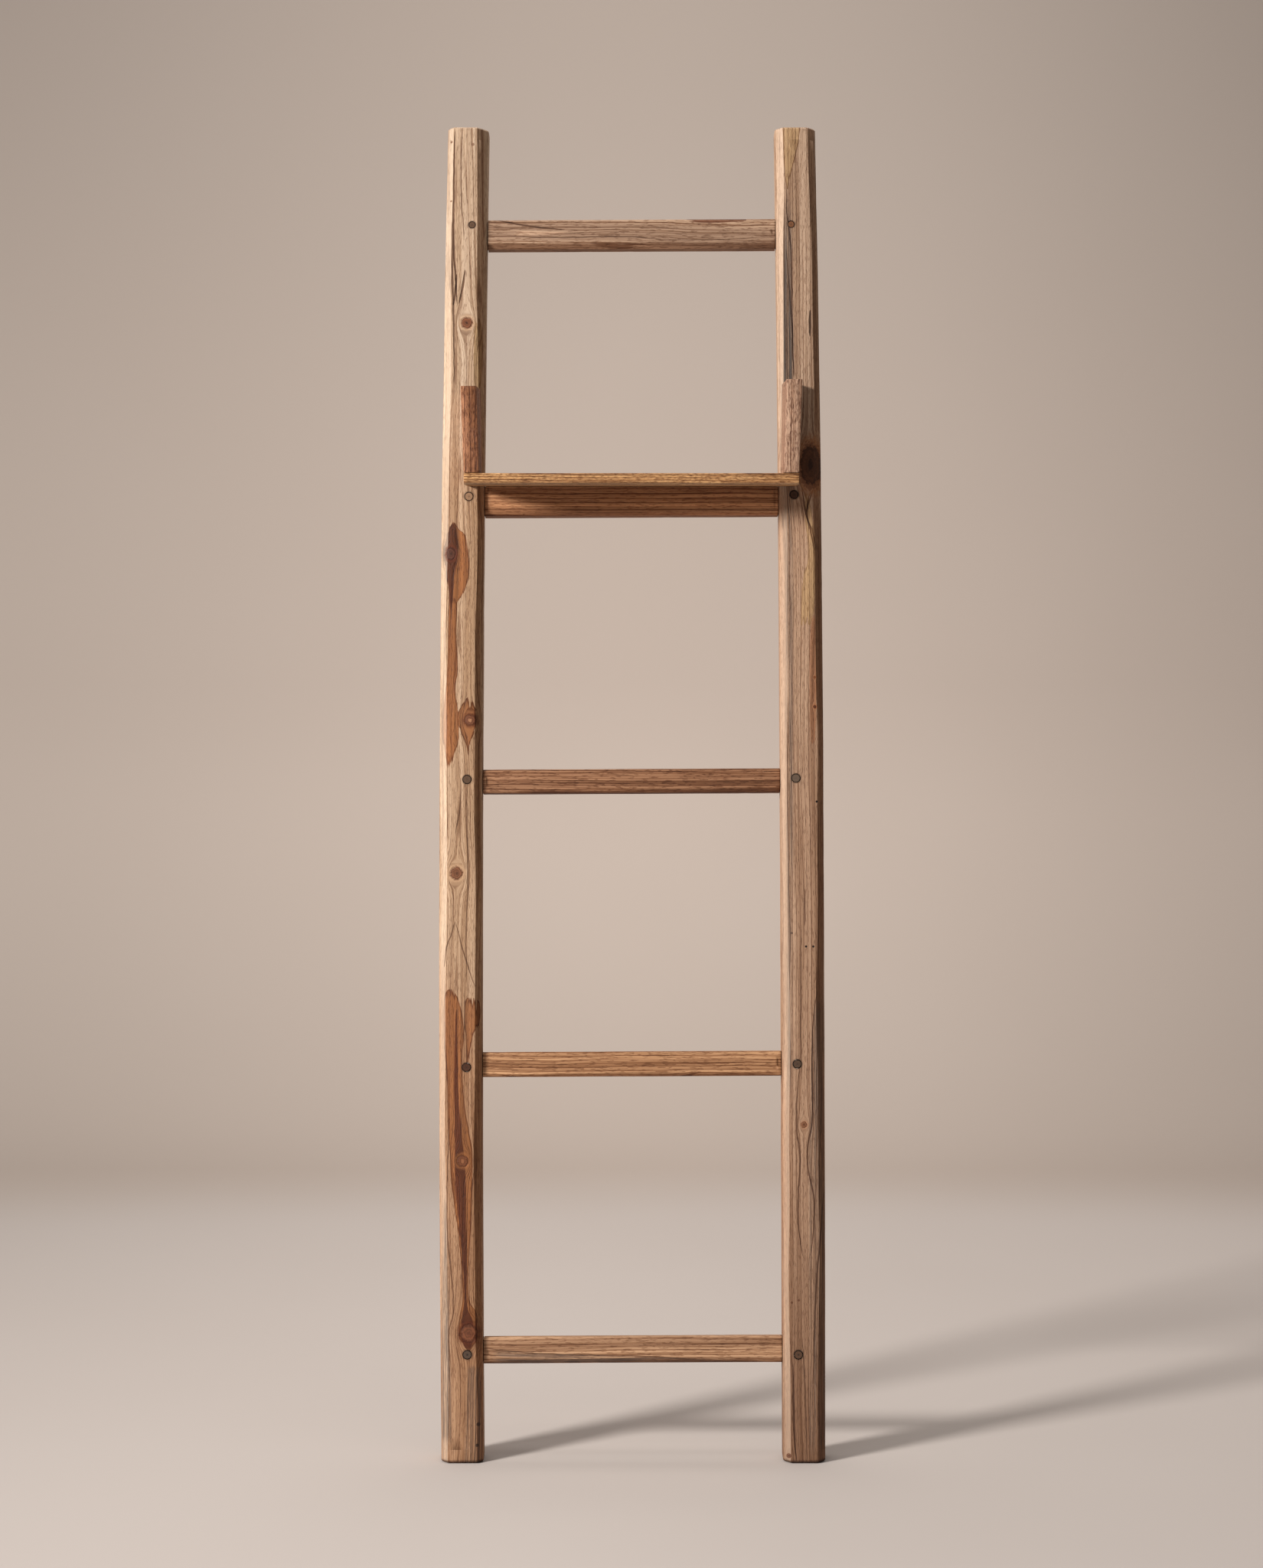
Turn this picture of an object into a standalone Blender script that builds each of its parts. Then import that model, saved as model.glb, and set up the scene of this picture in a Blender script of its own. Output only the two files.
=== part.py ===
"""Leaning blanket ladder of reclaimed timber, with a small open shelf hung between its rails.

Two hand-hewn rails carry five tenoned rungs. Every tenon is locked by a round peg that runs right
through the rail. The shelf is a board notched around the rails and seated on the second rung, with
an upright cheek on each of its ends. Screws hold the shelf: through the backs of the rails, up
through the board into the cheeks, and down through the board into the rung.

The ladder is modelled in its own plane: x across, y into the depth of the rails, z up along them.
The empty "ladder_lean" then leans that plane back against a wall. The empty "shelf_level" carries
the level pieces, with its origin where the rails' front plane passes the rung's planed seat.
Rungs are numbered from the top.
"""

import bmesh
import bpy
from math import cos, pi, radians, sin, tan
from mathutils import Matrix, Vector

# Driving dimensions, in metres
LEAN = radians(10.0)
CLEARANCE = 0.0003            # gap left between touching pieces
CUT_BEYOND = 0.005            # how far a cutter runs past the face that it opens

RAIL_LENGTH = 1.800
RAIL_WIDTH = 0.058            # at mid height
RAIL_END_WIDTH = 0.056        # at the foot and at the top
RAIL_DEPTH = 0.044
RAIL_SPACING = 0.458          # between the rails' centre-lines where they bow furthest apart
BOW_HEIGHT = 1.000            # height of the bow's widest point, along the rail
# How far each rail's centre-line comes in from there: at the foot and at the top
RAIL_PULL_IN = {"left": (0.0070, 0.0054), "right": (0.0020, 0.0050)}
RAIL_FRONT_CHAMFER = 0.0095   # hewn arrises either side of the front face
RAIL_BACK_CHAMFER = 0.005
RAIL_CHAMFER_WAVE = 0.0012    # how far the hewn arrises wander
RAIL_STATION = 0.075          # spacing of the sections that a rail is lofted through
RAIL_END_ARRIS = 0.0025

RUNG_COUNT = 5
TOP_MARGIN = 0.1465           # from the rails' tops down to the first rung's centre-line
FOOT_MARGIN = 0.1467          # from the rails' feet up to the last rung's centre-line
RUNG_DEPTH = 0.026
RUNG_SETBACK = 0.011          # behind the rails' front faces
RUNG_ARRIS = 0.006
RUNG_RISE = 0.0022            # right end above left end
TENON_LENGTH = 0.038
TENON_SHOULDER = 0.003        # above and below the tenon
TENON_THICKNESS = 0.016
TENON_ARRIS = 0.001
MORTISE_END_GAP = 0.001

PEG_INSET = 0.0205            # from the rail's inner face
PEG_SIDES = 20
SMALL_PEG_DIAMETER = 0.0092
PEG_DIAMETER = 0.0116

SHELF_THICKNESS = 0.0156
SHELF_REACH = 0.095           # in front of the rails
SHELF_ARRIS = 0.0015
CHEEK_HEIGHT = {"left": 0.1146, "right": 0.1234}   # above the board
CHEEK_SETOUT = 0.0025         # from the rail's inner face out to the cheek's inner face
CHEEK_THICKNESS = 0.020       # at the foot of the cheek
CHEEK_TOP_THICKNESS = 0.0216
CHEEK_SPLAY = 0.0024          # how far the inner face leans outward over the cheek's height
CHEEK_ARRIS = 0.0015

SCREW_SHANK = 0.0042
SCREW_HEAD = 0.0084
SCREW_HEAD_DEPTH = 0.0028
SCREW_POINT = 0.005
SCREW_SIDES = 16
CHEEK_SCREW_BITE = 0.028      # into the cheek's back edge
CHEEK_SCREW_MARGIN = 0.030    # from the cheek's foot and from its top
BOARD_SCREW_BITE = 0.032      # into the cheek's foot
BOARD_SCREW_BACK = 0.045      # from the rails' front plane to the rear screw
BOARD_SCREW_FRONT = 0.017     # from the board's front edge to the front screw
SEAT_SCREW_BITE = 0.022       # into the rung
SEAT_SCREW_OFFSET = 0.120     # either side of the middle

SIDES = {"left": -1.0, "right": 1.0}


class Rung:
    """One rung, numbered from the top, and where its two pegs were bored by hand.

    The drift is how far it stands above its place in an even spacing. The pegs' rises are shares
    of the rung's height, measured up from its centre-line.
    """

    def __init__(self, number, height, drift, left_rise, right_rise, diameter=PEG_DIAMETER):
        pitch = (RAIL_LENGTH - TOP_MARGIN - FOOT_MARGIN) / (RUNG_COUNT - 1)
        self.number = number
        self.name = "rung_" + str(number)
        self.height = height
        self.centre = RAIL_LENGTH - TOP_MARGIN - pitch * (number - 1) + drift
        self.peg_rise = {"left": left_rise, "right": right_rise}
        self.peg_diameter = diameter

    def centre_at(self, x):
        """Height of the rung's centre-line at x: the rungs climb slightly to the right."""
        return self.centre + RUNG_RISE * x / RAIL_SPACING


RUNGS = (
    Rung(1, 0.0400, 0.0, 0.25, 0.22, SMALL_PEG_DIAMETER),
    Rung(2, 0.0445, 0.0086, 0.05, 0.06),
    Rung(3, 0.0323, 0.0012, 0.05, 0.04),
    Rung(4, 0.0336, -0.0010, -0.11, -0.04),
    Rung(5, 0.0350, 0.0, -0.13, -0.19),
)
SEAT_RUNG = RUNGS[1]          # the shelf's board rests on it


# Shared helpers

def clear_scene():
    for old in list(bpy.data.objects):
        bpy.data.objects.remove(old, do_unlink=True)


def add_empty(name):
    empty = bpy.data.objects.new(name, None)
    bpy.context.scene.collection.objects.link(empty)
    return empty


def wood(name, colour, roughness=0.62):
    material = bpy.data.materials.new(name)
    material.use_nodes = True
    shader = material.node_tree.nodes["Principled BSDF"]
    shader.inputs["Base Color"].default_value = (*colour, 1.0)
    shader.inputs["Roughness"].default_value = roughness
    shader.inputs["Metallic"].default_value = 0.0
    return material


def steel(name):
    material = wood(name, (0.42, 0.40, 0.36), 0.38)
    material.node_tree.nodes["Principled BSDF"].inputs["Metallic"].default_value = 1.0
    return material


def add_object(name, shape, parent, material=None):
    """Turn a bmesh into a named object under one of the two empties."""
    bmesh.ops.recalc_face_normals(shape, faces=shape.faces)
    mesh = bpy.data.meshes.new(name)
    shape.to_mesh(mesh)
    shape.free()
    piece = bpy.data.objects.new(name, mesh)
    bpy.context.scene.collection.objects.link(piece)
    piece.parent = parent
    if material:
        mesh.materials.append(material)
    else:
        piece.hide_render = True
        piece.display_type = "WIRE"
    return piece


def cut(piece, cutter):
    boolean = piece.modifiers.new("cut by " + cutter.name, "BOOLEAN")
    boolean.operation = "DIFFERENCE"
    boolean.solver = "EXACT"
    boolean.object = cutter


def loft(shape, rings):
    """Skin a list of rings, each a list of points in the same order, and cap both ends."""
    skins = [[shape.verts.new(point) for point in ring] for ring in rings]
    count = len(skins[0])
    for lower, upper in zip(skins, skins[1:]):
        for index in range(count):
            following = (index + 1) % count
            shape.faces.new((lower[index], lower[following], upper[following], upper[index]))
    shape.faces.new(list(reversed(skins[0])))
    shape.faces.new(skins[-1])
    return skins


def octagon(width, height, arris):
    """Corner points of a width by height rectangle with its four corners cut off."""
    half_w, half_h = width / 2, height / 2
    return [
        (half_w, -half_h + arris), (half_w, half_h - arris),
        (half_w - arris, half_h), (-half_w + arris, half_h),
        (-half_w, half_h - arris), (-half_w, -half_h + arris),
        (-half_w + arris, -half_h), (half_w - arris, -half_h),
    ]


def turned(shape, profile, sides, placement):
    """Spin a profile of (radius, height) points about z, cap it, and place it."""
    rings = []
    for radius, height in profile:
        ring = []
        for step in range(sides):
            angle = 2 * pi * step / sides
            ring.append(placement @ Vector((radius * cos(angle), radius * sin(angle), height)))
        rings.append(ring)
    loft(shape, rings)


def slice_off(shape, point, normal):
    """Cut away what lies beyond a plane, on the side that its normal points to, and close it."""
    everything = shape.verts[:] + shape.edges[:] + shape.faces[:]
    result = bmesh.ops.bisect_plane(
        shape, geom=everything, plane_co=point, plane_no=normal, clear_outer=True)
    edges = [item for item in result["geom_cut"] if isinstance(item, bmesh.types.BMEdge)]
    bmesh.ops.contextual_create(shape, geom=edges)
    return edges


def block(shape, low, high):
    """A box between two opposite corners."""
    size = Vector(high) - Vector(low)
    middle = (Vector(high) + Vector(low)) / 2
    placement = Matrix.Translation(middle) @ Matrix.Diagonal((*size, 1.0))
    return bmesh.ops.create_cube(shape, size=1.0, matrix=placement)["verts"]


# Rails

def bow_share(height):
    """0 at the widest point of the bow, rising to 1 at either end of the rail."""
    end = 0.0 if height < BOW_HEIGHT else RAIL_LENGTH
    return ((height - BOW_HEIGHT) / (end - BOW_HEIGHT)) ** 2


def rail_centre(side, height):
    at_foot, at_top = RAIL_PULL_IN[side]
    pull = at_foot if height < BOW_HEIGHT else at_top
    return RAIL_SPACING / 2 - pull * bow_share(height)


def rail_width(height):
    return RAIL_WIDTH + (RAIL_END_WIDTH - RAIL_WIDTH) * bow_share(height)


def rail_inner(side, height):
    """Distance of the rail's inner face from the middle of the ladder."""
    return rail_centre(side, height) - rail_width(height) / 2


def hewn_chamfer(height, phase):
    """Width of a front chamfer, which wanders along the rail as an adze leaves it."""
    long_wave = sin(2 * pi * height / 0.61 + phase)
    short_wave = 0.4 * sin(2 * pi * height / 0.23 + 2.3 * phase)
    return RAIL_FRONT_CHAMFER + RAIL_CHAMFER_WAVE * (long_wave + short_wave)


def rail_ring(side, height):
    sign = SIDES[side]
    centre = rail_centre(side, height)
    half = rail_width(height) / 2
    outer_cut = hewn_chamfer(height, 0.7 + sign)
    inner_cut = hewn_chamfer(height, 3.1 - sign)
    corners = [
        (half, outer_cut), (half, RAIL_DEPTH - RAIL_BACK_CHAMFER),
        (half - RAIL_BACK_CHAMFER, RAIL_DEPTH), (-half + RAIL_BACK_CHAMFER, RAIL_DEPTH),
        (-half, RAIL_DEPTH - RAIL_BACK_CHAMFER), (-half, inner_cut),
        (-half + inner_cut, 0.0), (half - outer_cut, 0.0),
    ]
    return [Vector((sign * (centre + across), depth, height)) for across, depth in corners]


def make_rail(side, parent, material):
    """Loft a rail past its foot, cut the foot level with the floor, and ease both ends."""
    shape = bmesh.new()
    below_floor = -RAIL_STATION / 2
    steps = round((RAIL_LENGTH - below_floor) / RAIL_STATION)
    heights = [below_floor + (RAIL_LENGTH - below_floor) * step / steps for step in range(steps + 1)]
    rings = loft(shape, [rail_ring(side, height) for height in heights])
    top_edges = [edge for edge in shape.edges if all(vert in rings[-1] for vert in edge.verts)]
    foot_edges = slice_off(shape, Vector(), floor_normal() * -1)
    bmesh.ops.bevel(shape, geom=top_edges + foot_edges, offset=RAIL_END_ARRIS, segments=1,
                    affect="EDGES", clamp_overlap=True)
    return add_object(side + "_rail", shape, parent, material)


def floor_normal():
    """The world's up direction, in the ladder's own plane."""
    return Vector((0.0, -sin(LEAN), cos(LEAN)))


# Rungs, with the mortises and pegs that hold them

def tenon_height(rung):
    return rung.height - 2 * TENON_SHOULDER


def rung_section(rung, x, depth, height, arris):
    middle = RUNG_SETBACK + RUNG_DEPTH / 2
    centre = rung.centre_at(x)
    return [Vector((x, middle + across, centre + up)) for across, up in octagon(depth, height, arris)]


def shoulder_x(side, rung):
    """Where a rung's shoulder meets the rail's inner face, at its tightest height."""
    heights = (rung.centre - rung.height / 2, rung.centre + rung.height / 2)
    nearest = min(rail_inner(side, height) for height in heights)
    return SIDES[side] * (nearest - CLEARANCE)


def tenon_end_x(side, rung):
    return shoulder_x(side, rung) + SIDES[side] * TENON_LENGTH


def planed_height():
    """Height above the floor of the seat rung's planed top, which takes in its back corner."""
    lowest_top = SEAT_RUNG.centre + SEAT_RUNG.height / 2 - RUNG_RISE / 2
    return lowest_top * cos(LEAN) - (RUNG_SETBACK + RUNG_DEPTH) * sin(LEAN)


def board_height():
    """Height above the floor of the shelf board's underside."""
    return planed_height() + CLEARANCE


def make_rung(rung, parent, material):
    shape = bmesh.new()
    tenon = (TENON_THICKNESS, tenon_height(rung), TENON_ARRIS)
    bar = (RUNG_DEPTH, rung.height, RUNG_ARRIS)
    left, right = shoulder_x("left", rung), shoulder_x("right", rung)
    loft(shape, [
        rung_section(rung, tenon_end_x("left", rung), *tenon), rung_section(rung, left, *tenon),
        rung_section(rung, left, *bar), rung_section(rung, right, *bar),
        rung_section(rung, right, *tenon), rung_section(rung, tenon_end_x("right", rung), *tenon),
    ])
    if rung is SEAT_RUNG:
        # planed level along its top, so that the shelf board lies flat on it
        slice_off(shape, floor_normal() * planed_height(), floor_normal())
    return add_object(rung.name, shape, parent, material)


def make_mortises(side, parent):
    """One cutter for all of a rail's mortises, open past the rail's inner face."""
    shape = bmesh.new()
    for rung in RUNGS:
        size = (TENON_THICKNESS + 2 * CLEARANCE, tenon_height(rung) + 2 * CLEARANCE, TENON_ARRIS)
        mouth = shoulder_x(side, rung) - SIDES[side] * CUT_BEYOND
        end = tenon_end_x(side, rung) + SIDES[side] * MORTISE_END_GAP
        loft(shape, [rung_section(rung, x, *size) for x in (mouth, end)])
    return add_object(side + "_mortises", shape, parent)


def peg_point(side, rung):
    """Where a peg's axis passes the rail's front face."""
    x = SIDES[side] * (rail_inner(side, rung.centre) + PEG_INSET)
    height = rung.centre_at(x) + rung.peg_rise[side] * rung.height
    return Vector((x, 0.0, height))


def peg_name(side, rung):
    return "peg_" + str(rung.number) + "_" + side


def add_dowel(shape, point, radius, low, high, sides):
    """A cylinder that runs into the rail's depth at a point of its front face."""
    placement = Matrix.Translation(point) @ Matrix.Rotation(-pi / 2, 4, "X")
    turned(shape, [(radius, low), (radius, high)], sides, placement)


def make_peg(side, rung, parent, material):
    shape = bmesh.new()
    radius = rung.peg_diameter / 2
    add_dowel(shape, peg_point(side, rung), radius, CLEARANCE, RAIL_DEPTH - CLEARANCE, PEG_SIDES)
    return add_object(peg_name(side, rung), shape, parent, material)


def make_peg_holes(side, parent):
    shape = bmesh.new()
    for rung in RUNGS:
        radius = rung.peg_diameter / 2 + CLEARANCE
        back = RAIL_DEPTH + CUT_BEYOND
        add_dowel(shape, peg_point(side, rung), radius, -CUT_BEYOND, back, PEG_SIDES)
    return add_object(side + "_peg_holes", shape, parent)


# Screws

def screw_profile(length, grow=0.0):
    """Point, shank and countersunk head, with the head's face at height 0."""
    shank, head = SCREW_SHANK / 2 + grow, SCREW_HEAD / 2 + grow
    return [
        (shank * 0.15, -length - grow), (shank, -length + SCREW_POINT),
        (shank, -SCREW_HEAD_DEPTH - grow), (head, -grow),
    ]


def make_screw(name, placement, length, parent, material):
    """A screw whose head lies just below the surface that its placement is on."""
    shape = bmesh.new()
    sunk = placement @ Matrix.Translation((0, 0, -CLEARANCE))
    turned(shape, screw_profile(length), SCREW_SIDES, sunk)
    return add_object(name, shape, parent, material)


def make_screw_holes(name, placements, length, parent):
    """The same profile with room around it, open above the head."""
    shape = bmesh.new()
    profile = screw_profile(length + CLEARANCE, CLEARANCE)
    profile.append((profile[-1][0], CUT_BEYOND))
    for placement in placements:
        turned(shape, profile, SCREW_SIDES, placement)
    return add_object(name, shape, parent)


def board_half_width():
    """From the middle of the ladder to the board's end, flush with the cheek's outer face."""
    rail_face = rail_inner("right", board_height() / cos(LEAN))
    return rail_face + CHEEK_SETOUT + CHEEK_THICKNESS


def cheek_middle_x(side):
    """Middle of a cheek at its foot, where its screws run."""
    return SIDES[side] * (board_half_width() - CHEEK_THICKNESS / 2)


def cheek_screw_placements(side):
    """Through the rail's back, square to the rail, into the cheek's back edge."""
    turn = Matrix.Rotation(-pi / 2, 4, "X")
    places = []
    for above_board in (CHEEK_SCREW_MARGIN, CHEEK_HEIGHT[side] - CHEEK_SCREW_MARGIN):
        along_rail = (board_height() + SHELF_THICKNESS + above_board) / cos(LEAN)
        point = Vector((cheek_middle_x(side), RAIL_DEPTH, along_rail))
        places.append(Matrix.Translation(point) @ turn)
    return places


def board_screw_placements(side):
    """Up through the board's underside into the cheek's foot."""
    turn = Matrix.Rotation(pi, 4, "X")
    places = []
    for reach in (BOARD_SCREW_BACK, SHELF_REACH - BOARD_SCREW_FRONT):
        places.append(Matrix.Translation((cheek_middle_x(side), -reach, 0.0)) @ turn)
    return places


def seat_screw_placements():
    """Down through the board's tongue into the middle of the rung below it."""
    y = (RUNG_SETBACK + RUNG_DEPTH / 2) / cos(LEAN)
    return [Matrix.Translation((sign * SEAT_SCREW_OFFSET, y, SHELF_THICKNESS)) for sign in (-1, 1)]


# Shelf

def make_rail_recess(side, parent):
    """The room that a rail needs, with its clearance: it notches the board and backs the cheek."""
    shape = bmesh.new()
    middle_height = board_height() / cos(LEAN)
    inner = rail_inner(side, middle_height) - CLEARANCE
    outer = board_half_width() + RAIL_WIDTH
    half_height = 2 * CHEEK_HEIGHT[side]
    xs = sorted((SIDES[side] * inner, SIDES[side] * outer))
    low = (xs[0], -CLEARANCE, middle_height - half_height)
    high = (xs[1], 2 * SHELF_REACH, middle_height + half_height)
    block(shape, low, high)
    return add_object(side + "_rail_recess", shape, parent)


def make_board(parent, material):
    """A board as deep as the reach in front plus a tongue that ends level with the rung's back."""
    shape = bmesh.new()
    back = (RUNG_SETBACK + RUNG_DEPTH) / cos(LEAN)
    half = board_half_width()
    block(shape, (-half, -SHELF_REACH, 0.0), (half, back, SHELF_THICKNESS))
    bmesh.ops.bevel(shape, geom=shape.edges[:], offset=SHELF_ARRIS, segments=1, affect="EDGES")
    return add_object("shelf_board", shape, parent, material)


def make_cheek(side, parent, material):
    """An upright cheek, splayed outward, that stands on the board's end flush with its front."""
    shape = bmesh.new()
    sign = SIDES[side]
    outer = board_half_width()
    inner = outer - CHEEK_THICKNESS
    foot = SHELF_THICKNESS + CLEARANCE
    top = SHELF_THICKNESS + CHEEK_HEIGHT[side]
    back = SHELF_REACH / 2
    top_inner = inner + CHEEK_SPLAY
    top_outer = top_inner + CHEEK_TOP_THICKNESS
    rings = []
    for height, near, far in ((foot, inner, outer), (top, top_inner, top_outer)):
        corners = ((near, -SHELF_REACH), (far, -SHELF_REACH), (far, back), (near, back))
        rings.append([Vector((sign * x, y, height)) for x, y in corners])
    loft(shape, rings)
    bmesh.ops.bevel(shape, geom=shape.edges[:], offset=CHEEK_ARRIS, segments=1, affect="EDGES")
    return add_object(side + "_cheek", shape, parent, material)


# Assembly

def frame_shift():
    """Half the depth of the footprint, so that the origin is under the middle of the ladder."""
    eased = RAIL_END_ARRIS / 2
    back_of_top = (RAIL_LENGTH - eased) * sin(LEAN) + RAIL_DEPTH * cos(LEAN)
    return back_of_top / 2


clear_scene()

lean = add_empty("ladder_lean")
lean.rotation_euler = (-LEAN, 0.0, 0.0)
lean.location = (0.0, -frame_shift(), 0.0)

level = add_empty("shelf_level")
level.location = (0.0, board_height() * tan(LEAN) - frame_shift(), board_height())

rail_colours = {"left": (0.47, 0.31, 0.17), "right": (0.42, 0.27, 0.17)}
rung_colours = (
    (0.36, 0.22, 0.14), (0.19, 0.10, 0.06), (0.27, 0.16, 0.09), (0.38, 0.23, 0.12), (0.33, 0.23, 0.15))
cheek_colours = {"left": (0.36, 0.21, 0.13), "right": (0.40, 0.26, 0.17)}

rungs = {}
for rung, colour in zip(RUNGS, rung_colours):
    rungs[rung.number] = make_rung(rung, lean, wood(rung.name, colour))
board = make_board(level, wood("shelf_board", (0.40, 0.24, 0.12)))

for side in SIDES:
    rail = make_rail(side, lean, wood(side + "_rail", rail_colours[side]))
    mortises = make_mortises(side, lean)
    peg_holes = make_peg_holes(side, lean)
    cut(rail, mortises)
    cut(rail, peg_holes)
    for rung in RUNGS:
        cut(rungs[rung.number], peg_holes)
        make_peg(side, rung, lean, wood(peg_name(side, rung), (0.16, 0.09, 0.05), 0.7))

    cheek = make_cheek(side, level, wood(side + "_cheek", cheek_colours[side]))
    recess = make_rail_recess(side, lean)
    cut(board, recess)
    cut(cheek, recess)

    through_rail = cheek_screw_placements(side)
    length = RAIL_DEPTH + CHEEK_SCREW_BITE
    rail_holes = make_screw_holes(side + "_rail_screw_holes", through_rail, length, lean)
    cut(rail, rail_holes)
    cut(cheek, rail_holes)
    for number, placement in enumerate(through_rail, 1):
        name = side + "_rail_screw_" + str(number)
        make_screw(name, placement, length, lean, steel(name))

    through_board = board_screw_placements(side)
    length = SHELF_THICKNESS + BOARD_SCREW_BITE
    board_holes = make_screw_holes(side + "_board_screw_holes", through_board, length, level)
    cut(board, board_holes)
    cut(cheek, board_holes)
    for number, placement in enumerate(through_board, 1):
        name = side + "_board_screw_" + str(number)
        make_screw(name, placement, length, level, steel(name))

into_seat = seat_screw_placements()
length = SHELF_THICKNESS + SEAT_SCREW_BITE
seat_holes = make_screw_holes("seat_screw_holes", into_seat, length, level)
cut(board, seat_holes)
cut(rungs[SEAT_RUNG.number], seat_holes)
for side, placement in zip(SIDES, into_seat):
    name = "seat_screw_" + side
    make_screw(name, placement, length, level, steel(name))
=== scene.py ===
from math import atan2, cos, pi, radians, sin

import bmesh
import bpy
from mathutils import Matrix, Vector, noise


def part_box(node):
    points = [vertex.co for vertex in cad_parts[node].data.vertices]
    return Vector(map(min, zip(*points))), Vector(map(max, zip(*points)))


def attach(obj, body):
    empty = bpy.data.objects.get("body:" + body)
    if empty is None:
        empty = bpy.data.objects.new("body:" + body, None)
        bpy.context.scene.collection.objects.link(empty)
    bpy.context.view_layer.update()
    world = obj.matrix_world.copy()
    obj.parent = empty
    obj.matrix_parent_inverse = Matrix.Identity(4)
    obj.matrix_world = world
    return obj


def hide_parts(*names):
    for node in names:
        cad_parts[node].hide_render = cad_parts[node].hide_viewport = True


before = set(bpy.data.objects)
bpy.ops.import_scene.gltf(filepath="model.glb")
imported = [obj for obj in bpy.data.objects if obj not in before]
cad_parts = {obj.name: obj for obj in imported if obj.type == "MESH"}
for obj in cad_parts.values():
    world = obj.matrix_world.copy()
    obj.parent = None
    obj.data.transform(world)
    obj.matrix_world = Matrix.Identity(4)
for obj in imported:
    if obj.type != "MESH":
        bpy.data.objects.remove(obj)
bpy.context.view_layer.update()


# Left and right rail. Each is one bar of old teak, hewn with an adze: a wide flat front, arrises
# chopped off along both its sides, the top cut square and the foot cut level with the floor.
# Five mortises in the inner side take the rungs, and round holes run through for their pegs.

LEAN = radians(10.0)
FLOOR_UP = Vector((0.0, -sin(LEAN), cos(LEAN)))   # the world's up, in the ladder's own plane
STAND_BACK = -min(
    point.co.y * cos(LEAN) - point.co.z * sin(LEAN)
    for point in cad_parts["left_rail"].data.vertices) / cos(LEAN)
SIGN = {"left": -1.0, "right": 1.0}
RAIL_LENGTH, RAIL_WIDTH, RAIL_DEPTH = 1.800, 0.058, 0.044
RAIL_APART = 0.458
RAIL_BELOW = -0.018           # the bar is left this long before its foot is cut
PULL_IN = {"left": (0.0070, 0.0054), "right": (0.0020, 0.0050)}   # at the foot, at the top
CHAMFER, BACK_CHAMFER = 0.0095, 0.005
RUNG_SIZES = (                # number from the top, height of its middle along the rail, depth of face
    (1, 1.6535, 0.0400), (2, 1.28535, 0.0445), (3, 0.9013, 0.0323), (4, 0.5224, 0.0336),
    (5, 0.1467, 0.0350))
RUNG_TILT = 0.0022 / RAIL_APART   # each rung climbs a little from left to right
TENON_FRONT, TENON_BACK, TENON_SHOULDER = 0.016, 0.032, 0.003
SLIDING, SNUG = 0.0006, 0.0003    # room round pegs and screws: in rails and board, in rungs and cheeks


def blank(name, low, high):
    """A squared blank between two opposite corners, ready to be shaped."""
    low, high = Vector(low), Vector(high)
    bpy.ops.object.select_all(action="DESELECT")
    bpy.ops.mesh.primitive_cube_add(size=1.0, location=(low + high) / 2, scale=high - low)
    piece = bpy.context.object
    bpy.ops.object.transform_apply(location=True, rotation=True, scale=True)
    piece.name = piece.data.name = name
    return piece


def work_on(piece, mode):
    """Make a piece the only one selected, in edit or object mode."""
    if bpy.context.object and bpy.context.object.mode != "OBJECT":
        bpy.ops.object.mode_set(mode="OBJECT")
    bpy.ops.object.select_all(action="DESELECT")
    piece.select_set(True)
    bpy.context.view_layer.objects.active = piece
    bpy.ops.object.mode_set(mode=mode)


def pick(kind, test):
    """In edit mode, select only the corners, edges or faces that pass a test."""
    bpy.ops.mesh.select_mode(type={"verts": "VERT", "edges": "EDGE", "faces": "FACE"}[kind])
    bpy.ops.mesh.select_all(action="DESELECT")
    mesh = bpy.context.object.data
    shape = bmesh.from_edit_mesh(mesh)
    shape.normal_update()
    for item in getattr(shape, kind):
        if test(item):
            item.select_set(True)
    bmesh.update_edit_mesh(mesh)


def runs(edge, axis):
    """Whether an edge runs along an axis, 0 to 2 for x to z."""
    line = edge.verts[1].co - edge.verts[0].co
    return abs(line[axis]) > 0.9 * line.length


def middle(edge):
    return (edge.verts[0].co + edge.verts[1].co) / 2


def reshape(change):
    """In edit mode, move every corner to where a function of its place and normal puts it."""
    mesh = bpy.context.object.data
    shape = bmesh.from_edit_mesh(mesh)
    shape.normal_update()
    moved = [change(corner.co.copy(), corner.normal.copy()) for corner in shape.verts]
    for corner, place in zip(shape.verts, moved):
        corner.co = place
    shape.normal_update()
    bmesh.update_edit_mesh(mesh)


def divide(cuts, test):
    """Cut the edges that pass a test into equal lengths."""
    pick("edges", test)
    bpy.ops.mesh.subdivide(number_cuts=cuts)


def chamfer(width, test, segments=1):
    """Take the corner off along the edges that pass a test."""
    pick("edges", test)
    bpy.ops.mesh.bevel(offset=width, segments=segments, affect="EDGES")


def ease(width, angle=22.0, segments=2):
    """Round every edge that is sharper than an angle."""
    chamfer(width, lambda edge: edge.is_manifold and edge.calc_face_angle() > radians(angle), segments)


def cut_plane(point, normal):
    """Saw off what lies on the side that the normal points to, and close the cut."""
    bpy.ops.mesh.select_all(action="SELECT")
    bpy.ops.mesh.bisect(plane_co=point, plane_no=normal, use_fill=True, clear_outer=True)


def lean(piece):
    """Tilt a piece made upright in the ladder's own plane back to where the ladder stands."""
    work_on(piece, "OBJECT")
    piece.rotation_euler.x = -LEAN
    piece.location.y = -STAND_BACK
    bpy.ops.object.transform_apply(location=True, rotation=True, scale=True)


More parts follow.
